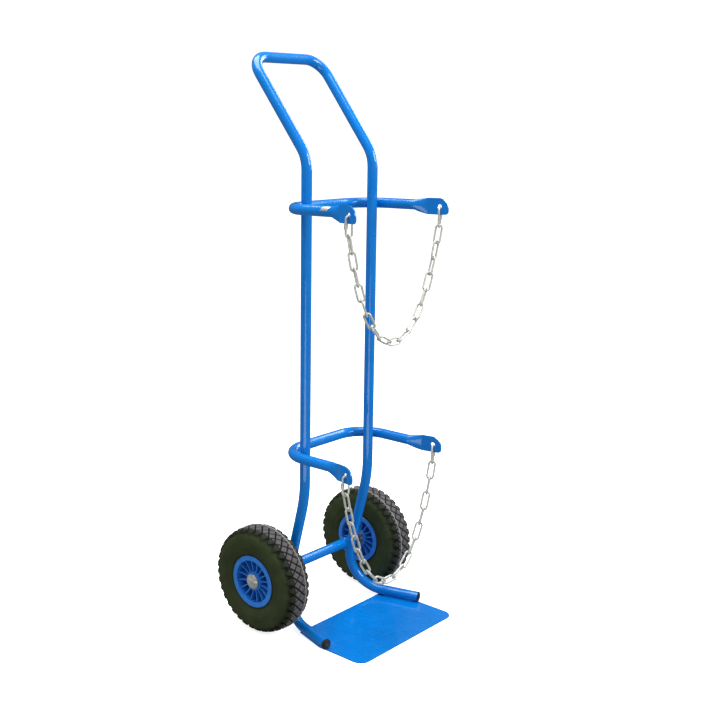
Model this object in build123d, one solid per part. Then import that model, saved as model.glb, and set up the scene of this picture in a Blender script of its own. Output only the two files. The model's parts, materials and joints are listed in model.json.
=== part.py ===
from build123d import *
import math
import os

# Gas cylinder hand truck. Millimetres. +Z is up, the front (toe plate) is towards -Y,
# and the origin is on the ground, under the centre of the whole truck's bounding box.

# Frame tube: 25 x 1.5 mm round steel tube
TUBE_R = 12.5
TUBE_WALL = 1.5
UPRIGHT_X = 120.0
UPRIGHT_Y = 17.0
HANDLE_BEND_Z = 1132.0
HANDLE_TOP_Z = 1361.0
HANDLE_BACK = 174.0
HANDLE_TOP_X = 123.0
HANDLE_CORNER_R = 50.0
HANDLE_BEND_R = 87.0
LEG_BEND_Z = 331.0
LEG_BEND_R = 340.0
LEG_BACK = 78.0
FOOT_BEND_R = 89.0
FOOT_END_X = 182.0
FOOT_END_Y = UPRIGHT_Y - 122.0

# End plugs of the feet
PLUG_RIM = 1.6
PLUG_DOME = 2.6
PLUG_STUB = 16.0

# Toe plate
PLATE_T = 3.0
PLATE_W = 365.0
PLATE_FRONT_Y = -212.0
PLATE_BACK_Y = -3.0
PLATE_CORNER_R = 25.0
PLATE_PAST_FOOT = 6.5
PLATE_EDGE = 0.6
FOOT_Z = PLATE_T + TUBE_R

# Hoops round the cylinder
HOOP_ARM_X = 152.0
HOOP_BACK_Y = UPRIGHT_Y + 52.0
HOOP_CORNER_R = 77.0
HOOP_UPPER_Z = 1016.5
HOOP_LOWER_Z = 435.5
EAR_END_Y = UPRIGHT_Y - 186.0
EAR_FLAT_L = 52.0
EAR_NECK_L = 30.0
EAR_H = 39.0
EAR_T = 4.0
EAR_LAP = 0.5
EAR_DROP = 3.0
EAR_OFFSET = 10.5
EAR_SPLAY = 11.0
EAR_TOP_R = 26.0
EAR_BOTTOM_R = 8.0
HOLE_R = 5.5
HOLE_ALONG = 22.0
HOLE_DROP = 3.5
HOLE_REACH = EAR_FLAT_L - HOLE_ALONG
HOLE_X = HOOP_ARM_X + EAR_OFFSET + HOLE_REACH * math.sin(math.radians(EAR_SPLAY))
HOLE_Y = EAR_END_Y + EAR_FLAT_L - HOLE_REACH * math.cos(math.radians(EAR_SPLAY))
HOOP_WELD_R = 9.0

# Label on the upper hoop
LABEL_L = 21.0
LABEL_H = 10.5
LABEL_SLANT = 3.5
LABEL_T = 0.15
LABEL_GLUE = 0.05
LABEL_TURN = 32.0
LABEL_Y = UPRIGHT_Y - 91.0

# Axle and running gear
AXLE_BEAD_X = UPRIGHT_X - TUBE_R + 1.0
AXLE_BEAD_R = 3.0
AXLE_Y = 82.0
AXLE_Z = 130.0
ROD_R = 10.0
ROD_HALF = 239.5
BORE_GAP = 0.05
SIDE_GAP = 0.4
WHEEL_X = 200.0
HUB_HALF = 31.0
WASHER_R = 17.0
WASHER_T = 2.0
SPACER_R = 13.5
CAP_R = 18.0
CAP_T = 1.0
CAP_H = 10.5
CAP_SKIRT = 2.5

# Pneumatic wheel, 260 x 85
TYRE_R = 130.0
TYRE_HALF_W = 42.5
BEAD_R = 55.0
TREAD_T = 14.0
SEAT_R = BEAD_R + 0.4
TOE_R = 62.0
TUBE_RING_R = 84.0
TUBE_FAT_R = 26.0
TUBE_SKIN = 1.8
BARREL_R = 51.5
FLANGE_R = 63.5
FLANGE_W0 = 33.0
FLANGE_W1 = 36.5
SEAT_W = FLANGE_W0 - 0.3
TOE_W = FLANGE_W0 - 10.0
LIP_R = FLANGE_R + 0.6
WEB_W0 = 2.5
WEB_T = 4.0
HUB_R = 22.5
BEARING_R = 16.0
BEARING_W = 9.0
RIB_COUNT = 16
RIB_T = 2.6
SCREW_COUNT = 4
SCREW_RADIUS = 34.0
SCREW_R = 2.5
SCREW_AF = 8.0
SCREW_HEAD_L = 3.5
RIM_NUT_L = 5.0
BOSS_H = 2.0
VALVE_R = 4.0
VALVE_CAP_R = 4.8
VALVE_L = 23.0
VALVE_CAP_L = 8.0
VALVE_ROOT = (-10.0, 0, 59.0)
VALVE_AIM = (-1.2, 0, -1.0)

# Chains of 5 mm wire, and the quick links that hold them in the ears
LINK_COUNT = 17
LINK_PITCH = 38.3
LINK_WIRE_R = 2.5
LINK_HALF_W = 7.5
LINK_GAP = 0.7
QUICK_INNER_L = 41.0
QUICK_WIRE_R = 2.5
QUICK_HALF_W = 8.0
QUICK_LIFT = 1.0
NUT_AF = 9.0
NUT_L = 12.0
NUT_CORNER_R = 4.85
NUT_TOP = 14.0
GAP_TOP = 15.5
GAP_L = 5.5
# Chain twist: (link number, turn of that link beyond the quarter turns)
UPPER_TURNS = ((0, 120.0), (8, 150.0), (12, 200.0), (16, 285.0))
LOWER_TURNS = ((0, 97.0), (16, 120.0))
QUICK_YAW = 20.0

parts = {}


def rounded_path(points, radii):
    """Straight runs between the points, joined by tangent arcs."""
    edges = []
    start = Vector(*points[0])
    for i, radius in enumerate(radii):
        corner = Vector(*points[i + 1])
        back = (Vector(*points[i]) - corner).normalized()
        ahead = (Vector(*points[i + 2]) - corner).normalized()
        half = math.radians(back.get_angle(ahead)) / 2
        reach = radius / math.tan(half)
        middle = corner + (back + ahead).normalized() * (radius / math.sin(half) - radius)
        arc_start = corner + back * reach
        arc_end = corner + ahead * reach
        edges.append(Line(start, arc_start))
        edges.append(ThreePointArc(arc_start, middle, arc_end))
        start = arc_end
    edges.append(Line(start, Vector(*points[-1])))
    return Wire(edges)


def swept_disc(path, radius):
    return sweep(path.location_at(0) * Circle(radius), path=path, transition=Transition.ROUND)


def x_cylinder(radius, x0, x1, y=0.0, z=0.0):
    return Pos((x0 + x1) / 2, y, z) * Rot(0, 90, 0) * Cylinder(radius, abs(x1 - x0))


def x_ring(outer, inner, x0, x1, y=0.0, z=0.0):
    low = min(x0, x1)
    high = max(x0, x1)
    return x_cylinder(outer, low, high, y, z) - x_cylinder(inner, low - 1, high + 1, y, z)


def mirrored(shape):
    return mirror(shape, about=Plane.YZ)


# ---------------------------------------------------------------- frame

def frame_path():
    half = [
        (UPRIGHT_X, UPRIGHT_Y + LEG_BACK, FOOT_Z),
        (UPRIGHT_X, UPRIGHT_Y, LEG_BEND_Z),
        (UPRIGHT_X, UPRIGHT_Y, HANDLE_BEND_Z),
        (HANDLE_TOP_X, UPRIGHT_Y + HANDLE_BACK, HANDLE_TOP_Z),
    ]
    foot_end = (FOOT_END_X, FOOT_END_Y, FOOT_Z)
    right = [foot_end] + half
    left = [(-x, y, z) for x, y, z in reversed(right)]
    radii = [FOOT_BEND_R, LEG_BEND_R, HANDLE_BEND_R, HANDLE_CORNER_R]
    return rounded_path(right + left, radii + radii[::-1])


def hoop_path(z):
    front_y = EAR_END_Y + EAR_FLAT_L + EAR_NECK_L
    points = [
        (HOOP_ARM_X, front_y, z),
        (HOOP_ARM_X, HOOP_BACK_Y, z),
        (-HOOP_ARM_X, HOOP_BACK_Y, z),
        (-HOOP_ARM_X, front_y, z),
    ]
    return rounded_path(points, [HOOP_CORNER_R, HOOP_CORNER_R])


def ear(z):
    """Flattened end of the right arm, bent a little outwards: a neck and a drilled plate."""
    neck_y = EAR_END_Y + EAR_FLAT_L + EAR_NECK_L
    root = Pos(HOOP_ARM_X + EAR_OFFSET, EAR_END_Y + EAR_FLAT_L, z - EAR_DROP) * Rot(0, 0, EAR_SPLAY)
    facing = Plane(origin=(0, 0, 0), x_dir=(1, 0, 0), z_dir=(0, -1, 0))
    round_face = Pos(HOOP_ARM_X, neck_y, z) * (facing * Circle(TUBE_R))
    mid_place = Pos(HOOP_ARM_X + EAR_OFFSET * 0.5, neck_y - EAR_NECK_L * 0.6, z - EAR_DROP * 0.7)
    mid_face = mid_place * (facing * Ellipse(TUBE_R * 0.55, EAR_H * 0.44))
    flat_face = root * (facing * Ellipse(EAR_T / 2, EAR_H / 2))
    neck = loft([round_face, mid_face, flat_face])
    blank = Pos((EAR_LAP - EAR_FLAT_L) / 2, 0) * Rectangle(EAR_FLAT_L + EAR_LAP, EAR_H)
    top_front = blank.vertices().group_by(Axis.X)[0].sort_by(Axis.Y)[-1]
    blank = fillet(top_front, EAR_TOP_R)
    low_front = blank.vertices().group_by(Axis.X)[0].sort_by(Axis.Y)[0]
    blank = fillet(low_front, EAR_BOTTOM_R)
    side = Plane(origin=(-EAR_T / 2, 0, 0), x_dir=(0, 1, 0), z_dir=(1, 0, 0))
    plate = extrude(side * blank, EAR_T)
    hole = x_cylinder(HOLE_R, -10, 10, HOLE_ALONG - EAR_FLAT_L, EAR_DROP - HOLE_DROP)
    return neck + root * plate - root * hole


def hoop(z):
    path = hoop_path(z)
    bore = swept_disc(path, TUBE_R - TUBE_WALL)
    right_ear = ear(z)
    return swept_disc(path, TUBE_R) + right_ear + mirrored(right_ear) - bore


def toe_plate():
    """Flat plate; behind the feet ends its sides are cut back along the feet."""
    run = Vector(FOOT_END_X - UPRIGHT_X, FOOT_END_Y - UPRIGHT_Y - LEG_BACK, 0).normalized()
    half = PLATE_W / 2
    edge_x = FOOT_END_X - run.Y * PLATE_PAST_FOOT
    edge_y = FOOT_END_Y + run.X * PLATE_PAST_FOOT
    slope = run.X / run.Y
    side = [
        (half, PLATE_FRONT_Y),
        (half, edge_y + (half - edge_x) / slope),
        (edge_x + (PLATE_BACK_Y - edge_y) * slope, PLATE_BACK_Y),
    ]
    outline = Polygon(*side, *[(-x, y) for x, y in reversed(side)], align=None)
    outline = fillet(outline.vertices().group_by(Axis.Y)[0], PLATE_CORNER_R)
    solid = extrude(outline, PLATE_T)
    return chamfer(solid.faces().sort_by(Axis.Z)[-1].edges(), PLATE_EDGE)


def end_plug():
    """Insert with a domed head, in the end of the right foot."""
    direction = Vector(FOOT_END_X - UPRIGHT_X, FOOT_END_Y - UPRIGHT_Y - LEG_BACK, 0).normalized()
    end = Plane(origin=(FOOT_END_X, FOOT_END_Y, FOOT_Z), x_dir=(0, 0, -1), z_dir=direction)
    head = Rot(0, -90, 0) * dome_cap(TUBE_R, PLUG_RIM, PLUG_RIM + PLUG_DOME)
    stub = Pos(0, 0, -PLUG_STUB / 2) * Cylinder(TUBE_R - TUBE_WALL - BORE_GAP, PLUG_STUB)
    return end * (head + stub)


def hoop_welds(frame_solid, hoops):
    """Weld metal that fills the crevice where each hoop corner meets an upright."""
    centre_x = HOOP_ARM_X - HOOP_CORNER_R
    centre_y = HOOP_BACK_Y - HOOP_CORNER_R
    reach = math.hypot(UPRIGHT_X - centre_x, UPRIGHT_Y - centre_y)
    contact = reach + TUBE_R
    x = centre_x + (UPRIGHT_X - centre_x) * contact / reach
    y = centre_y + (UPRIGHT_Y - centre_y) * contact / reach
    beads = []
    for z in (HOOP_UPPER_Z, HOOP_LOWER_Z):
        bead = Pos(x, y, z) * Sphere(HOOP_WELD_R) - frame_solid - hoops
        beads.append(bead)
        beads.append(mirrored(bead))
    return beads


def axle_welds(solids):
    beads = []
    for side in (1, -1):
        bead = Pos(side * AXLE_BEAD_X, AXLE_Y, AXLE_Z) * Rot(0, 90, 0) * Torus(TUBE_R, AXLE_BEAD_R)
        for solid in solids:
            bead = bead - solid
        beads.append(bead)
    return beads


def foil_label():
    """Thin slanted label wrapped on the upper outer side of the upper hoop's left arm."""
    inner_r = TUBE_R + LABEL_GLUE
    skin = Rot(90, 0, 0) * (Cylinder(inner_r + LABEL_T, 3 * LABEL_L) - Cylinder(inner_r, 4 * LABEL_L))
    half_l = LABEL_L / 2
    half_h = LABEL_H / 2
    outline = make_face(Polyline(
        (-half_l - LABEL_SLANT, -half_h), (half_l - LABEL_SLANT, -half_h),
        (half_l + LABEL_SLANT, half_h), (-half_l + LABEL_SLANT, half_h), close=True))
    prism = extrude(Plane(origin=(0, 0, 0), x_dir=(0, -1, 0), z_dir=(-1, 0, 0)) * outline, 2 * TUBE_R)
    return Pos(-HOOP_ARM_X, LABEL_Y, HOOP_UPPER_Z) * Rot(0, LABEL_TURN, 0) * (skin & prism)


# ---------------------------------------------------------------- wheel, built at the origin

def spun(face_points):
    """A ring turned about X from points given as (offset along X, radius)."""
    return revolve(make_face(Polyline(*face_points, close=True)), Axis.X)


def tyre():
    outer = Spline(
        (SEAT_W, LIP_R),
        (TYRE_HALF_W - 3.0, 74.0),
        (TYRE_HALF_W, 92.0),
        (TYRE_HALF_W - 3.0, 112.0),
        (TYRE_HALF_W - 12.0, 124.5),
        (15.0, 129.3),
        (0, TYRE_R),
        tangents=[(0.9, 0.5), (-1, 0)],
    )
    inner = Spline(
        (0, TYRE_R - TREAD_T),
        (20.0, 113.0),
        (TYRE_HALF_W - 7.5, 92.0),
        (TOE_W, TOE_R),
        tangents=[(1, 0), (-0.4, -1)],
    )
    edges = [
        outer,
        Line((0, TYRE_R), (0, TYRE_R - TREAD_T)),
        inner,
        Line((TOE_W, TOE_R), (TOE_W, SEAT_R)),
        Line((TOE_W, SEAT_R), (SEAT_W, SEAT_R)),
        Line((SEAT_W, SEAT_R), (SEAT_W, LIP_R)),
    ]
    half = make_face(Wire(edges))
    half_ring = revolve(half, Axis.X)
    return half_ring + mirrored(half_ring)


def inner_tube():
    ring = Rot(0, 90, 0) * Torus(TUBE_RING_R, TUBE_FAT_R)
    hollow = Rot(0, 90, 0) * Torus(TUBE_RING_R, TUBE_FAT_R - TUBE_SKIN)
    return ring - hollow


def valve_axis():
    """Plane whose Z runs down the valve stem, from the tube out through the rim barrel."""
    return Plane(origin=VALVE_ROOT, x_dir=(0, 1, 0), z_dir=VALVE_AIM)


def valve_stem():
    axis = valve_axis()
    stem = axis * Pos(0, 0, VALVE_L / 2) * Cylinder(VALVE_R - 0.3, VALVE_L)
    root = Rot(0, 90, 0) * Torus(TUBE_RING_R, TUBE_FAT_R + 0.2)
    return stem - root


def valve_cap():
    axis = valve_axis()
    cap = axis * Pos(0, 0, VALVE_L + VALVE_CAP_L / 2 + 0.1) * Cylinder(VALVE_CAP_R, VALVE_CAP_L)
    return chamfer(cap.edges().sort_by(Axis.X)[0], 1.2)


def screw_places():
    step = 360.0 / SCREW_COUNT
    places = []
    for i in range(SCREW_COUNT):
        angle = math.radians(step * (i + 0.5))
        places.append((SCREW_RADIUS * math.cos(angle), SCREW_RADIUS * math.sin(angle)))
    return places


def rim_half():
    """Outer half of the two-part plastic rim, on the +X side of the split."""
    barrel = x_ring(BEAD_R, BARREL_R, 0, FLANGE_W0)
    flange = spun([
        (FLANGE_W0, BARREL_R), (FLANGE_W1 - 1, BARREL_R), (FLANGE_W1, BARREL_R + 1),
        (FLANGE_W1, FLANGE_R - 1.2), (FLANGE_W1 - 1.2, FLANGE_R),
        (FLANGE_W0 + 0.6, FLANGE_R), (FLANGE_W0, FLANGE_R - 1),
    ])
    web = x_ring(BARREL_R + 1, HUB_R - 1, WEB_W0, WEB_W0 + WEB_T)
    hub = x_ring(HUB_R, BEARING_R, 0, HUB_HALF)
    rib = extrude(
        Plane(origin=(0, -RIB_T / 2, 0), x_dir=(1, 0, 0), z_dir=(0, 1, 0))
        * make_face(Polyline(
            (WEB_W0 + 1, -(HUB_R - 1)), (WEB_W0 + 1, -(BARREL_R + 1)),
            (FLANGE_W0 - 3, -(BARREL_R + 1)), (FLANGE_W0 - 6, -(HUB_R + 8)),
            (FLANGE_W0 - 4, -(HUB_R - 1)), close=True)),
        RIB_T)
    solid = barrel + flange + web + hub
    for i in range(RIB_COUNT):
        solid = solid + Rot(360.0 / RIB_COUNT * (i + 0.5), 0, 0) * rib
    for y, z in screw_places():
        boss = x_cylinder(SCREW_R + 3.0, 0, WEB_W0 + WEB_T + BOSS_H, y, z)
        solid = solid + boss - x_cylinder(SCREW_R + 0.1, -5, 60, y, z)
    return solid


def hex_prism(across_flats, length):
    return extrude(RegularPolygon(across_flats / 2, 6, major_radius=False), length)


def rim_screws():
    seat = WEB_W0 + WEB_T + BOSS_H
    group = []
    for y, z in screw_places():
        shank = x_cylinder(SCREW_R, -seat - 7, seat, y, z)
        head = Pos(seat, y, z) * Rot(0, 90, 0) * hex_prism(SCREW_AF, SCREW_HEAD_L)
        group.append(shank + head)
    return group


def rim_nuts():
    seat = WEB_W0 + WEB_T + BOSS_H
    group = []
    for y, z in screw_places():
        nut = Pos(-seat - RIM_NUT_L, y, z) * Rot(0, 90, 0) * hex_prism(SCREW_AF, RIM_NUT_L)
        group.append(nut - x_cylinder(SCREW_R, -30, 30, y, z))
    return group


def bearing():
    """Sealed ball bearing at the outer end of the hub."""
    ring = x_ring(BEARING_R, ROD_R + BORE_GAP, HUB_HALF - BEARING_W, HUB_HALF)
    for x in (HUB_HALF - BEARING_W, HUB_HALF):
        ring = ring - x_ring(BEARING_R - 1.6, ROD_R + 1.8, x - 0.4, x + 0.4)
    return ring


def wheel_parts(name, side):
    """All pieces of one wheel. side is +1 on the right and -1 on the left."""
    outer_half = rim_half()
    inner_half = mirrored(outer_half)
    hole = valve_axis() * Pos(0, 0, 14.0) * Cylinder(VALVE_R, 40.0)
    pieces = {
        "tyre": tyre(),
        "inner_tube": inner_tube(),
        "valve_stem": valve_stem(),
        "valve_cap": valve_cap(),
        "rim_outer": outer_half,
        "rim_inner": inner_half - hole,
        "rim_screws": rim_screws(),
        "rim_nuts": rim_nuts(),
        "bearing_outer": bearing(),
        "bearing_inner": mirrored(bearing()),
    }
    for key, shape in pieces.items():
        group = shape if isinstance(shape, list) else [shape]
        placed = []
        for solid in group:
            moved = Pos(WHEEL_X, AXLE_Y, AXLE_Z) * solid
            placed.append(moved if side > 0 else mirrored(moved))
        parts[name + "_" + key] = placed


# ---------------------------------------------------------------- axle fittings

def spacer(side):
    start = UPRIGHT_X + TUBE_R + 0.3
    end = WHEEL_X - HUB_HALF - SIDE_GAP - WASHER_T
    return x_ring(SPACER_R, ROD_R + BORE_GAP, side * start, side * end, AXLE_Y, AXLE_Z)


def washer(side, x):
    return x_ring(WASHER_R, ROD_R + BORE_GAP, side * x, side * (x + WASHER_T), AXLE_Y, AXLE_Z)


def dome_cap(radius, skirt, height):
    """Solid round cap along +X: a short skirt and a spherical dome above it."""
    rise = height - skirt
    ball_r = (radius ** 2 + rise ** 2) / (2 * rise)
    ball = Pos(height - ball_r, 0, 0) * Sphere(ball_r)
    return ball & x_cylinder(radius, 0, height + 1)


def axle_cap(side):
    """Domed push-on cap that grips the end of the rod."""
    x0 = WHEEL_X + HUB_HALF + SIDE_GAP + WASHER_T
    hollow = Pos(CAP_T, 0, 0) * dome_cap(CAP_R - CAP_T, CAP_SKIRT - CAP_T, CAP_H - 2 * CAP_T)
    shell = dome_cap(CAP_R, CAP_SKIRT, CAP_H) - hollow
    shell = shell - x_cylinder(ROD_R + BORE_GAP, -1, CAP_T + 0.5)
    placed = Pos(x0, AXLE_Y, AXLE_Z) * shell
    return placed if side > 0 else mirrored(placed)


# ---------------------------------------------------------------- chains

def link_ring(half_length, half_width, wire_r):
    """Closed oval link: centre line half_length by half_width, long side along Z, flat in XZ."""
    straight = half_length - half_width
    path = Wire([
        Line((half_width, 0, -straight), (half_width, 0, straight)),
        ThreePointArc((half_width, 0, straight), (0, 0, half_length), (-half_width, 0, straight)),
        Line((-half_width, 0, straight), (-half_width, 0, -straight)),
        ThreePointArc((-half_width, 0, -straight), (0, 0, -half_length), (half_width, 0, -straight)),
    ])
    return sweep(path.location_at(0) * Circle(wire_r), path=path)


def hanging_slopes(count, pitch, span):
    """Angles below and above level of equal loose links that hang between two points."""
    low = 0.01
    high = 5.0
    for _ in range(60):
        k = (low + high) / 2
        angles = [math.atan(k * (i - (count - 1) / 2)) for i in range(count)]
        width = sum(pitch * math.cos(a) for a in angles)
        if width > span:
            low = k
        else:
            high = k
    return angles


def chain_rolls(turns):
    """Turn of each link about its own length: a quarter turn each, plus the chain's slow twist."""
    rolls = []
    for (first, start), (last, end) in zip(turns, turns[1:]):
        for i in range(first, last):
            rolls.append(90.0 * i + start + (end - start) * (i - first) / (last - first))
    last, end = turns[-1]
    rolls.append(90.0 * last + end)
    return rolls


def contact_z(hoop_z):
    return hoop_z - HOLE_DROP - HOLE_R + QUICK_LIFT


def chain_links(hoop_z, turns):
    x = -HOLE_X
    z = contact_z(hoop_z) - QUICK_INNER_L
    ring = link_ring(LINK_PITCH / 2 + LINK_WIRE_R + LINK_GAP / 2, LINK_HALF_W, LINK_WIRE_R)
    group = []
    slopes = hanging_slopes(LINK_COUNT, LINK_PITCH, 2 * HOLE_X)
    for slope, roll in zip(slopes, chain_rolls(turns)):
        dx = LINK_PITCH * math.cos(slope)
        dz = LINK_PITCH * math.sin(slope)
        lean = 90.0 - math.degrees(slope)
        place = Pos(x + dx / 2, HOLE_Y, z + dz / 2) * Rot(0, lean, 0) * Rot(0, 0, roll)
        group.append(place * ring)
        x = x + dx
        z = z + dz
    return group


def quick_place(hoop_z):
    """Frame of the left quick link: origin at its contact in the hole, threaded side outwards."""
    return Pos(-HOLE_X, HOLE_Y, contact_z(hoop_z)) * Rot(0, 0, -QUICK_YAW)


def quick_body(hoop_z):
    half_length = QUICK_INNER_L / 2 + QUICK_WIRE_R
    ring = Pos(0, 0, -QUICK_INNER_L / 2) * link_ring(half_length, QUICK_HALF_W, QUICK_WIRE_R)
    gap = Pos(-QUICK_HALF_W, 0, -GAP_TOP - GAP_L / 2) * Cylinder(QUICK_WIRE_R + 1, GAP_L)
    return quick_place(hoop_z) * (ring - gap)


def quick_nut(hoop_z):
    nut = Pos(-QUICK_HALF_W, 0, -NUT_TOP - NUT_L) * hex_prism(NUT_AF, NUT_L)
    cone = Pos(-QUICK_HALF_W, 0, -NUT_TOP - NUT_L / 2) * Cylinder(NUT_CORNER_R, NUT_L)
    bore = Pos(-QUICK_HALF_W, 0, -NUT_TOP - NUT_L / 2) * Cylinder(QUICK_WIRE_R + BORE_GAP, NUT_L + 2)
    return quick_place(hoop_z) * ((nut & cone) - bore)


# ---------------------------------------------------------------- assembly

def build_frame():
    path = frame_path()
    outer = swept_disc(path, TUBE_R)
    bore = swept_disc(path, TUBE_R - TUBE_WALL)
    rod_hole = x_cylinder(ROD_R, -200, 200, AXLE_Y, AXLE_Z)
    frame_solid = outer - bore - rod_hole
    upper = hoop(HOOP_UPPER_Z)
    lower = hoop(HOOP_LOWER_Z)
    cross = x_ring(TUBE_R, TUBE_R - TUBE_WALL, -UPRIGHT_X, UPRIGHT_X, AXLE_Y, AXLE_Z)
    cross = (cross - outer).solids().sort_by(SortBy.VOLUME)[-1]
    rod = x_cylinder(ROD_R, -ROD_HALF, ROD_HALF, AXLE_Y, AXLE_Z)
    parts["frame_tube"] = [frame_solid]
    parts["upper_hoop"] = [upper]
    parts["lower_hoop"] = [lower]
    parts["axle_tube"] = [cross]
    parts["axle_rod"] = [chamfer(rod.edges(), 0.8)]
    parts["toe_plate"] = [toe_plate()]
    parts["plug_right"] = [end_plug()]
    parts["plug_left"] = [mirrored(end_plug())]
    parts["foil_label"] = [foil_label()]
    filled = x_cylinder(TUBE_R, -UPRIGHT_X, UPRIGHT_X, AXLE_Y, AXLE_Z)
    parts["hoop_welds"] = hoop_welds(outer, [swept_disc(hoop_path(z), TUBE_R)
                                             for z in (HOOP_UPPER_Z, HOOP_LOWER_Z)])
    parts["axle_welds"] = axle_welds([outer, filled])


def build_running_gear():
    for name, side in (("left", -1), ("right", 1)):
        wheel_parts(name, side)
        parts[name + "_spacer"] = [spacer(side)]
        parts[name + "_washer_inner"] = [washer(side, WHEEL_X - HUB_HALF - SIDE_GAP - WASHER_T)]
        parts[name + "_washer_outer"] = [washer(side, WHEEL_X + HUB_HALF + SIDE_GAP)]
        parts[name + "_axle_cap"] = [axle_cap(side)]


def build_chains():
    for name, z, turns in (("upper", HOOP_UPPER_Z, UPPER_TURNS), ("lower", HOOP_LOWER_Z, LOWER_TURNS)):
        parts[name + "_chain"] = chain_links(z, turns)
        parts[name + "_quick_link_left"] = [quick_body(z)]
        parts[name + "_quick_nut_left"] = [quick_nut(z)]
        parts[name + "_quick_link_right"] = [mirrored(quick_body(z))]
        parts[name + "_quick_nut_right"] = [mirrored(quick_nut(z))]


build_frame()
build_running_gear()
build_chains()

os.makedirs("parts", exist_ok=True)
for node, solids in parts.items():
    flat = []
    for item in solids:
        flat.extend(item.solids())
    shape = flat[0] if len(flat) == 1 else Compound(children=flat)
    export_step(shape, os.path.join("parts", node + ".step"))
    print(node, len(flat), round(sum(s.volume for s in flat) / 1000, 2), "cm3")
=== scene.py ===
import bpy
import json
import math
import numpy as np
from mathutils import Matrix, Vector


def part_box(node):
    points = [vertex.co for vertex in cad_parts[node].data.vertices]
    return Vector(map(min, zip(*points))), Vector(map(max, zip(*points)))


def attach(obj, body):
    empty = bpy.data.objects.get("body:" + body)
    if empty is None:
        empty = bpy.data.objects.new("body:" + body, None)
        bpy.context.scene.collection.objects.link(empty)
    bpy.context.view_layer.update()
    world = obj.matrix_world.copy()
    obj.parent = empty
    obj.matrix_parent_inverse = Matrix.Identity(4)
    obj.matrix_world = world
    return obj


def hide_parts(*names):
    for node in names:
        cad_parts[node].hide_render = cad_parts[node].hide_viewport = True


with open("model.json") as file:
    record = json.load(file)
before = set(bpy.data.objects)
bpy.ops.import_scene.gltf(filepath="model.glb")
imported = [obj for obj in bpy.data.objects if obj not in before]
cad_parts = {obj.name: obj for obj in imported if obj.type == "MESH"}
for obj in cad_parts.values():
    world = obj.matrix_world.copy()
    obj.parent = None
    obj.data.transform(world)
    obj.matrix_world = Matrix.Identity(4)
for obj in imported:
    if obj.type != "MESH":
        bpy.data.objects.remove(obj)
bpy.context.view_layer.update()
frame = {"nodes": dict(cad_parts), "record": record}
nodes = frame["nodes"]


# ------------------------------------------------------------------ materials

class Surface:
    """A Principled material with small helpers for its procedural nodes."""

    def __init__(self, name, **fixed):
        self.material = bpy.data.materials.new(name)
        self.material.use_nodes = True
        self.tree = self.material.node_tree
        self.shader = self.tree.nodes["Principled BSDF"]
        for socket, value in fixed.items():
            self.shader.inputs[socket.replace("_", " ")].default_value = value
        self.place = self.tree.nodes.new("ShaderNodeTexCoord").outputs["Object"]
        self.normal = None

    def node(self, kind, inputs=None, **settings):
        made = self.tree.nodes.new("ShaderNode" + kind)
        for key, value in settings.items():
            setattr(made, key, value)
        for key, value in (inputs or {}).items():
            if isinstance(value, bpy.types.NodeSocket):
                self.tree.links.new(value, made.inputs[key])
            else:
                made.inputs[key].default_value = value
        return made

    def noise(self, scale, detail=2.0, stretch=None, distortion=0.0):
        place = self.place
        if stretch:
            place = self.node("Mapping", {"Vector": place, "Scale": stretch}).outputs[0]
        made = self.node("TexNoise", {"Vector": place, "Scale": scale, "Detail": detail,
                                      "Distortion": distortion})
        return made.outputs["Fac"]

    def spots(self, scale, feature="F1"):
        made = self.node("TexVoronoi", {"Vector": self.place, "Scale": scale}, feature=feature)
        return made.outputs["Distance"]

    def span(self, value, low, high, to_low=0.0, to_high=1.0):
        made = self.node("MapRange", {"Value": value, "From Min": low, "From Max": high,
                                      "To Min": to_low, "To Max": to_high})
        return made.outputs["Result"]

    def math(self, operation, a, b=0.5):
        return self.node("Math", {0: a, 1: b}, operation=operation).outputs[0]

    def blend(self, amount, a, b):
        made = self.node("Mix", data_type="RGBA")
        for key, value in ((0, amount), (6, a), (7, b)):
            if isinstance(value, bpy.types.NodeSocket):
                self.tree.links.new(value, made.inputs[key])
            else:
                made.inputs[key].default_value = value
        return made.outputs[2]

    def bump(self, height, strength, distance):
        inputs = {"Height": height, "Strength": strength, "Distance": distance}
        if self.normal:
            inputs["Normal"] = self.normal
        self.normal = self.node("Bump", inputs).outputs["Normal"]
        self.tree.links.new(self.normal, self.shader.inputs["Normal"])

    def feed(self, socket, value):
        self.tree.links.new(value, self.shader.inputs[socket])


def rgb(r, g, b):
    return (r, g, b, 1.0)


def powder_coat(name, scuffs=0.35, welds=False):
    s = Surface(name, Coat_Weight=0.9, Coat_Roughness=0.04, IOR=1.40, Specular_IOR_Level=0.3)
    cloud = s.noise(7.0, 3.0)
    grain = s.noise(420.0, 2.0)
    colour = s.blend(s.span(cloud, 0.35, 0.65), rgb(0.000, 0.165, 0.57), rgb(0.000, 0.190, 0.65))
    colour = s.blend(s.span(grain, 0.3, 0.7, 0.0, 0.12), colour, rgb(0.000, 0.26, 0.78))
    marks = s.span(s.noise(60.0, 6.0, (1.0, 1.0, 0.22), 0.6), 0.66, 0.72)
    rubbed = s.span(s.noise(9.0, 2.0), 0.52, 0.68, 0.0, scuffs)
    worn = s.math("MULTIPLY", marks, rubbed)
    s.feed("Base Color", s.blend(worn, colour, rgb(0.06, 0.28, 0.72)))
    rough = s.span(s.noise(26.0, 4.0), 0.3, 0.7, 0.20, 0.34)
    s.feed("Roughness", s.math("ADD", rough, s.math("MULTIPLY", worn, 0.35)))
    s.bump(s.noise(40.0, 2.0), 0.03, 0.0006)
    if welds:
        s.bump(s.node("TexWave", {"Vector": s.place, "Scale": 90.0, "Distortion": 3.0,
                                  "Detail": 2.0}).outputs["Fac"], 0.55, 0.0011)
    return s.material


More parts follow.
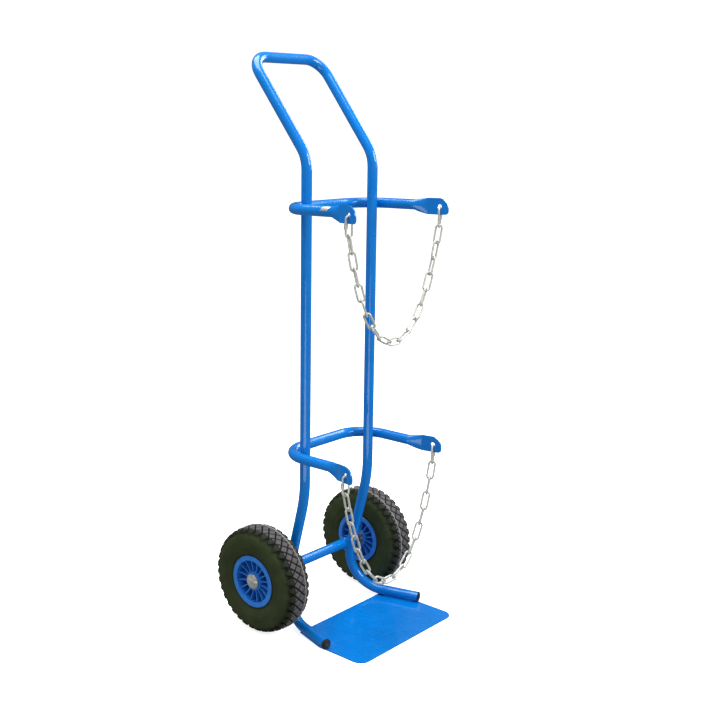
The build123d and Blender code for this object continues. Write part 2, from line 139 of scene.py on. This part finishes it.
def zinc(name, base, dark, rough, pits=0.2, metallic=1.0):
    s = Surface(name, Metallic=metallic)
    cloud = s.noise(130.0, 4.0)
    colour = s.blend(s.span(cloud, 0.35, 0.7), rgb(*dark), rgb(*base))
    speck = s.span(s.spots(900.0), 0.05, 0.28, pits, 0.0)
    s.feed("Base Color", s.blend(speck, colour, rgb(0.16, 0.15, 0.12)))
    s.feed("Roughness", s.span(s.noise(340.0, 3.0), 0.3, 0.7, rough - 0.09, rough + 0.12))
    s.bump(s.noise(900.0, 2.0), 0.18, 0.0004)
    return s.material


def turned_steel(name):
    s = Surface(name, Metallic=1.0)
    rings = s.noise(55.0, 3.0, (34.0, 1.0, 1.0))
    s.feed("Base Color", s.blend(s.span(rings, 0.3, 0.7), rgb(0.36, 0.36, 0.35), rgb(0.56, 0.56, 0.55)))
    s.feed("Roughness", s.span(s.noise(220.0, 2.0), 0.3, 0.7, 0.24, 0.42))
    s.bump(rings, 0.12, 0.0003)
    return s.material


def moulded(name, low, high, rough, scuff, coat=0.0):
    s = Surface(name, Coat_Weight=coat, Coat_Roughness=0.15)
    cloud = s.noise(45.0, 3.0)
    colour = s.blend(s.span(cloud, 0.3, 0.7), rgb(*low), rgb(*high))
    rub = s.span(s.noise(190.0, 5.0, None, 0.4), 0.62, 0.75, 0.0, 0.55)
    s.feed("Base Color", s.blend(rub, colour, rgb(*scuff)))
    s.feed("Roughness", s.span(s.noise(300.0, 2.0), 0.3, 0.7, rough - 0.08, rough + 0.1))
    s.bump(s.noise(1500.0, 1.0), 0.10, 0.0003)
    return s.material


def tyre_rubber(name):
    s = Surface(name, Specular_IOR_Level=0.10)
    block = s.node("Attribute", attribute_name="block").outputs["Fac"]
    tread = s.node("Attribute", attribute_name="tread").outputs["Fac"]
    crown = s.node("Attribute", attribute_name="crown").outputs["Fac"]
    flash = s.node("Attribute", attribute_name="flash").outputs["Fac"]
    cloud = s.noise(30.0, 4.0)
    wall = s.blend(s.span(cloud, 0.3, 0.7), rgb(0.029, 0.040, 0.015), rgb(0.042, 0.056, 0.023))
    # The tread band between the blocks is painted near black, as painted shade in the grooves; the
    # sidewall rubber is far lighter
    groove_painted_shade = s.blend(tread, wall, rgb(0.007, 0.008, 0.006))
    dust = s.span(s.noise(150.0, 4.0), 0.25, 0.75, 0.55, 1.0)
    top = s.blend(dust, rgb(0.045, 0.043, 0.043), rgb(0.120, 0.114, 0.122))
    tooth = s.blend(s.math("MULTIPLY", block, tread), groove_painted_shade, rgb(0.024, 0.029, 0.017))
    tops = s.blend(s.math("MULTIPLY", block, crown), tooth, top)
    s.feed("Base Color", s.blend(flash, tops, rgb(0.42, 0.42, 0.36)))
    s.feed("Roughness", s.span(s.noise(90.0, 3.0), 0.3, 0.7, 0.48, 0.68))
    s.bump(s.noise(1300.0, 2.0), 0.25, 0.0004)
    s.bump(s.noise(240.0, 3.0), 0.18, 0.0010)
    return s.material


def plain_rubber(name):
    s = Surface(name)
    s.feed("Base Color", s.blend(s.noise(80.0, 3.0), rgb(0.012, 0.012, 0.012), rgb(0.030, 0.030, 0.029)))
    s.feed("Roughness", s.span(s.noise(200.0, 2.0), 0.3, 0.7, 0.5, 0.75))
    s.bump(s.noise(1200.0, 2.0), 0.2, 0.0004)
    return s.material


def foil(name):
    s = Surface(name, Metallic=0.75)
    cell = s.spots(1400.0)
    s.feed("Base Color", s.blend(s.noise(240.0, 3.0), rgb(0.62, 0.64, 0.68), rgb(0.90, 0.91, 0.92)))
    s.feed("Roughness", s.span(cell, 0.0, 0.6, 0.25, 0.45))
    s.bump(cell, 0.3, 0.0002)
    return s.material


blue = powder_coat("blue_powder_coat")
blue_weld = powder_coat("blue_over_weld", welds=True)
chain_zinc = zinc("zinc_on_chain", (0.74, 0.76, 0.70), (0.52, 0.53, 0.47), 0.36, 0.2, 0.35)
cap_zinc = zinc("zinc_on_cap", (0.86, 0.88, 0.80), (0.60, 0.62, 0.54), 0.20, 0.12, 0.6)
small_zinc = zinc("zinc_on_fittings", (0.70, 0.69, 0.66), (0.42, 0.41, 0.38), 0.30)
steel = turned_steel("turned_steel")
black = moulded("black_plug_plastic", (0.012, 0.012, 0.014), (0.024, 0.024, 0.027), 0.36,
                (0.09, 0.09, 0.09))
rim_blue = moulded("blue_rim_plastic", (0.012, 0.165, 0.60), (0.022, 0.205, 0.70), 0.34,
                   (0.10, 0.34, 0.80), 0.3)
rubber = tyre_rubber("tyre_rubber")
tube_rubber = plain_rubber("tube_rubber")
silver_foil = foil("silver_foil")

BY_SLOT = {
    "blue_paint": blue,
    "zinc_steel": small_zinc,
    "bare_steel": steel,
    "black_plastic": black,
    "rim_plastic": rim_blue,
    "tyre_rubber": rubber,
    "tube_rubber": tube_rubber,
    "foil": silver_foil,
}


def dress(obj, material):
    obj.data.materials.clear()
    obj.data.materials.append(material)


for entry in frame["record"]["subparts"]:
    name = entry["node"]
    material = BY_SLOT[entry["material_slot"]]
    if "chain" in name or "quick" in name:
        material = chain_zinc
    elif "axle_cap" in name:
        material = cap_zinc
    elif "welds" in name:
        material = blue_weld
    dress(nodes[name], material)


# ------------------------------------------------------------------ helpers for meshes

def mesh_object(name, points, faces, smooth=True):
    mesh = bpy.data.meshes.new(name)
    mesh.from_pydata(points, [], faces)
    mesh.update()
    mesh.polygons.foreach_set("use_smooth", [smooth] * len(mesh.polygons))
    obj = bpy.data.objects.new(name, mesh)
    bpy.context.scene.collection.objects.link(obj)
    return obj


def smoothstep(low, high, value):
    t = np.clip((value - low) / (high - low), 0.0, 1.0)
    return t * t * (3 - 2 * t)


def curve_through(points, per_span):
    """Catmull-Rom curve through 2-D points."""
    pts = np.array([points[0]] + list(points) + [points[-1]], dtype=float)
    out = []
    for i in range(1, len(pts) - 2):
        p0, p1, p2, p3 = pts[i - 1], pts[i], pts[i + 1], pts[i + 2]
        for t in np.linspace(0, 1, per_span, endpoint=False):
            a = 2 * p1 + (p2 - p0) * t
            b = (2 * p0 - 5 * p1 + 4 * p2 - p3) * t * t
            c = (3 * p1 - p0 - 3 * p2 + p3) * t ** 3
            out.append(0.5 * (a + b + c))
    out.append(pts[-2])
    return np.array(out)


# ------------------------------------------------------------------ tyres

PITCHES = 36
STEPS_PER_PITCH = 24
TREAD_DEPTH = 0.0036
DIAMOND_LENGTH = 0.0245
DIAMOND_EDGE = 0.0225
TOOTH_END_LONG = 0.047
TOOTH_END_SHORT = 0.038
FLASH_AT = 0.0135
GROOVE_EXTRA = 0.0005
WALL_SUNK = 0.0007
# Sidewall ribs: distance from the crown along the profile, height, half width
WALL_RIBS = ((0.0745, 0.0006, 0.0012), (0.0905, 0.0007, 0.0016), (0.058, 0.0004, 0.0009))
PROFILE_POINTS = 236

HALF_PROFILE = [
    (0.0329, 0.0641), (0.0392, 0.0740), (0.0420, 0.0920), (0.0391, 0.1120),
    (0.0302, 0.1243), (0.0150, 0.1291), (0.0, 0.1298),
]

# Inside of the casing from bead to bead: distance from the middle, radius
LINING = np.array([
    (-0.0326, 0.0556), (-0.0240, 0.0556), (-0.0240, 0.062), (-0.034, 0.092), (-0.020, 0.1125),
    (0.0, 0.1155), (0.020, 0.1125), (0.034, 0.092), (0.0240, 0.062), (0.0240, 0.0556), (0.0326, 0.0556),
])


def tyre_profile():
    """Outer profile from one rim flange over the tread to the other, evenly spaced."""
    mirror = [(-w, r) for w, r in HALF_PROFILE[:-1]]
    line = curve_through(HALF_PROFILE + mirror[::-1], 40)
    length = np.r_[0, np.cumsum(np.linalg.norm(np.diff(line, axis=0), axis=1))]
    even = np.linspace(0, length[-1], PROFILE_POINTS)
    return np.c_[np.interp(even, length, line[:, 0]), np.interp(even, length, line[:, 1])], even


def tread_masks(turn, arc):
    """Block, tread and depth masks; turn counts pitches, arc is the distance from the crown."""
    away = np.abs(arc)
    u = turn + arc / DIAMOND_LENGTH
    v = turn - arc / DIAMOND_LENGTH
    to_line = np.minimum(np.abs(u - np.round(u)), np.abs(v - np.round(v)))
    diamond = smoothstep(0.075, 0.125, to_line)
    across = np.abs(turn - np.floor(turn) - 0.5)
    long_tooth = (np.floor(turn).astype(int) % 2) == 0
    end = np.where(long_tooth, TOOTH_END_LONG, TOOTH_END_SHORT)
    along = np.clip((away - DIAMOND_EDGE) / (end - DIAMOND_EDGE), 0, 1)
    width = 0.40 - 0.26 * along
    tooth = smoothstep(width + 0.03, width - 0.03, across) * smoothstep(end + 0.001, end - 0.001, away)
    ring = smoothstep(0.0010, 0.0018, np.abs(away - DIAMOND_EDGE))
    block = np.where(away < DIAMOND_EDGE, diamond, tooth) * ring
    deep = smoothstep(0.052, 0.030, away)
    tread = smoothstep(0.048, 0.030, away)
    return block, tread, deep


def tyre(name, side):
    profile, length = tyre_profile()
    arc = length - length[-1] / 2
    tangent = np.gradient(profile, axis=0)
    tangent /= np.linalg.norm(tangent, axis=1)[:, None]
    inward = np.c_[-tangent[:, 1], tangent[:, 0]]
    if (inward[len(inward) // 2, 1]) > 0:
        inward = -inward
    columns = PITCHES * STEPS_PER_PITCH
    turn = np.arange(columns)[:, None] / STEPS_PER_PITCH
    block, tread, deep = tread_masks(turn + 0 * arc, arc + 0 * turn)
    flash = smoothstep(0.0011, 0.0004, np.abs(arc - FLASH_AT * side)) + 0 * turn
    sunk = TREAD_DEPTH * (1 - np.maximum(block, flash))
    depth = deep * (sunk + GROOVE_EXTRA * (1 - flash))
    ribs = 0.0
    for ring, height, wide in WALL_RIBS:
        ribs = ribs + height * smoothstep(wide, wide * 0.3, np.abs(np.abs(arc) - ring))
    depth = depth + WALL_SUNK * (1 - deep) - ribs * (1 - deep)
    w = profile[:, 0] + inward[:, 0] * depth
    r = profile[:, 1] + inward[:, 1] * depth
    w = np.hstack([w, np.tile(LINING[:, 0], (columns, 1))])
    r = np.hstack([r, np.tile(LINING[:, 1], (columns, 1))])
    rows = w.shape[1]
    angle = turn * 2 * math.pi / PITCHES
    low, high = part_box(name)
    centre = [(a + b) / 2 for a, b in zip(low, high)]
    around = [centre[1] + r * np.cos(angle), centre[2] + r * np.sin(angle)]
    points = np.stack([centre[0] + w, *around], axis=-1)
    i, j = np.meshgrid(np.arange(columns), np.arange(rows), indexing="ij")
    i2, j2 = (i + 1) % columns, (j + 1) % rows
    faces = np.stack([i * rows + j, i * rows + j2, i2 * rows + j2, i2 * rows + j], axis=-1)
    obj = mesh_object(name + "_moulded", points.reshape(-1, 3).tolist(), faces.reshape(-1, 4).tolist())
    extra = np.zeros((columns, len(LINING)))
    crown = smoothstep(DIAMOND_EDGE + 0.004, DIAMOND_EDGE - 0.002, np.abs(arc))
    for label, values in (("block", block), ("tread", tread), ("crown", crown), ("flash", flash)):
        data = np.hstack([values + 0 * turn, extra]).astype(np.float32).ravel()
        layer = obj.data.attributes.new(label, "FLOAT", "POINT")
        layer.data.foreach_set("value", data)
    dress(obj, rubber)
    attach(obj, name.replace("_tyre", "_wheel"))
    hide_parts(name)


tyre("left_tyre", -1)
tyre("right_tyre", 1)


# ------------------------------------------------------------------ weld beads on the feet

FOOT_END = (0.182, -0.105)
FOOT_START = (0.120, 0.095)
PLATE_TOP = 0.003
BEAD_R = 0.0026
BEAD_LIFT = 0.0010
BEAD_BESIDE_FOOT = 0.0068
BEAD_START = 0.092
BEAD_END = 0.008
BEAD_SIDES = 12
BEAD_STEP = 0.0008


def weld_bead(name, start, end, radius, seed):
    """A rippled fillet bead between two points, half sunk in what it joins."""
    steps = int((end - start).length / BEAD_STEP)
    rng = np.random.default_rng(seed)
    wander = np.convolve(rng.normal(0, 1, steps + 20), np.ones(9) / 9, "same")
    ahead = (end - start).normalized()
    across = ahead.cross(Vector((0, 0, 1))).normalized()
    points, faces = [], []
    around = BEAD_SIDES
    for i in range(steps + 1):
        t = i / steps
        ripple = 0.84 + 0.16 * abs(math.sin(i * 0.8))
        taper = min(1.0, 9 * t + 0.12, 9 * (1 - t) + 0.12)
        size = radius * ripple * taper
        centre = start + ahead * (end - start).length * t + across * (wander[i] * 0.0004)
        for k in range(around):
            a = 2 * math.pi * k / around
            points.append(centre + across * (size * math.cos(a)) + Vector((0, 0, size * math.sin(a))))
    for i in range(steps):
        for k in range(around):
            k2 = (k + 1) % around
            faces.append((i * around + k, i * around + k2, (i + 1) * around + k2, (i + 1) * around + k))
    faces.append(tuple(range(around))[::-1])
    faces.append(tuple(steps * around + k for k in range(around)))
    obj = mesh_object(name, points, faces)
    dress(obj, blue_weld)
    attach(obj, "frame")


def foot_welds():
    for side, label in ((1, "right"), (-1, "left")):
        end = Vector((FOOT_END[0] * side, FOOT_END[1], PLATE_TOP + BEAD_LIFT))
        start = Vector((FOOT_START[0] * side, FOOT_START[1], PLATE_TOP + BEAD_LIFT))
        ahead = (end - start).normalized()
        across = ahead.cross(Vector((0, 0, 1)))
        length = (end - start).length
        for sign, where in ((1, "outer"), (-1, "inner")):
            beside = across * (BEAD_BESIDE_FOOT * sign)
            a = start + ahead * (length - BEAD_START) + beside
            b = start + ahead * (length - BEAD_END) + beside
            weld_bead(label + "_foot_weld_" + where, a, b, BEAD_R, 3 + side * 2 + sign)


foot_welds()


# ------------------------------------------------------------------ floor, light and camera

def area_light(name, where, target, size, power):
    data = bpy.data.lights.new(name, "AREA")
    data.shape = "RECTANGLE"
    data.size, data.size_y = size
    data.energy = power
    obj = bpy.data.objects.new(name, data)
    obj.location = where
    aim = Vector(target) - Vector(where)
    obj.rotation_euler = aim.to_track_quat("-Z", "Y").to_euler()
    bpy.context.scene.collection.objects.link(obj)
    return obj


FLOOR_GLOW = 0.75
FLOOR_REACH = 40.0
SKY_LIGHT = 0.62
SKY_MIRRORED = 0.10
SKY_SEEN = 1.05
STRIP_TURN = math.atan2(0.83, -0.56)


def studio():
    far = FLOOR_REACH
    floor = mesh_object("floor", [(-far, -far, 0), (far, -far, 0), (far, far, 0), (-far, far, 0)],
                        [(0, 1, 2, 3)], False)
    s = Surface("pale_floor", Roughness=0.9)
    s.feed("Base Color", s.blend(s.noise(1.2, 2.0), rgb(0.93, 0.93, 0.93), rgb(0.95, 0.95, 0.95)))
    s.shader.inputs["Emission Color"].default_value = rgb(1.0, 1.0, 1.0)
    s.shader.inputs["Emission Strength"].default_value = FLOOR_GLOW
    dress(floor, s.material)
    floor.visible_glossy = False
    floor.visible_diffuse = False

    world = bpy.data.worlds.new("studio")
    bpy.context.scene.world = world
    world.use_nodes = True
    tree = world.node_tree
    background = tree.nodes["Background"]
    background.inputs["Color"].default_value = rgb(1.0, 1.0, 1.0)
    path = tree.nodes.new("ShaderNodeLightPath").outputs
    mirrored = tree.nodes.new("ShaderNodeMapRange")
    mirrored.inputs["To Min"].default_value = SKY_LIGHT
    mirrored.inputs["To Max"].default_value = SKY_MIRRORED
    tree.links.new(path["Is Glossy Ray"], mirrored.inputs["Value"])
    seen = tree.nodes.new("ShaderNodeMapRange")
    seen.inputs["To Max"].default_value = SKY_SEEN
    tree.links.new(path["Is Camera Ray"], seen.inputs["Value"])
    tree.links.new(mirrored.outputs["Result"], seen.inputs["To Min"])
    tree.links.new(seen.outputs["Result"], background.inputs["Strength"])

    # Two key lights, and two pale cards that only the gloss of the pieces picks up
    centre = (0.0, 0.0, 0.7)
    area_light("key_right", (1.2, -3.4, 2.6), centre, (1.8, 1.8), 95.0)
    area_light("key_top", (-0.3, 0.4, 3.6), centre, (2.6, 2.6), 125.0)
    card = area_light("reflected_card", (3.2, -0.4, 2.35), (0.0, -0.4, 2.35), (2.4, 2.3), 90.0)
    card.visible_diffuse = False
    card.visible_camera = False
    strip = area_light("reflected_strip", (-3.0, -1.9, 0.02), (-3.0, -1.9, 2.0), (1.5, 5.0), 55.0)
    strip.rotation_euler = (math.pi, 0.0, STRIP_TURN)
    strip.visible_diffuse = False
    strip.visible_camera = False


SENSOR_MM = 36.0
IMAGE_PX = 720
FOCAL_PX = 1081.6
CENTRE_PX = (235.0, 340.7)
CAMERA_AT = (-1.9802, -1.6164, 1.1921)
CAMERA_TURN = (-44.9, 11.0, -0.4)


def camera():
    data = bpy.data.cameras.new("camera")
    data.sensor_width = SENSOR_MM
    data.lens = FOCAL_PX * SENSOR_MM / IMAGE_PX
    data.shift_x = (IMAGE_PX / 2 - CENTRE_PX[0]) / IMAGE_PX
    data.shift_y = (CENTRE_PX[1] - IMAGE_PX / 2) / IMAGE_PX
    obj = bpy.data.objects.new("camera", data)
    bpy.context.scene.collection.objects.link(obj)
    azimuth, elevation, roll = (math.radians(v) for v in CAMERA_TURN)
    ahead = Vector((-math.sin(azimuth) * math.cos(elevation), math.cos(azimuth) * math.cos(elevation),
                    -math.sin(elevation)))
    right = Vector((math.cos(azimuth), math.sin(azimuth), 0))
    up = right.cross(ahead)
    right_rolled = right * math.cos(roll) + up * math.sin(roll)
    up_rolled = up * math.cos(roll) - right * math.sin(roll)
    turned = Matrix((right_rolled, up_rolled, -ahead)).transposed()
    obj.matrix_world = Matrix.Translation(CAMERA_AT) @ turned.to_4x4()
    bpy.context.scene.camera = obj


studio()
camera()
bpy.context.scene.view_settings.view_transform = "Standard"
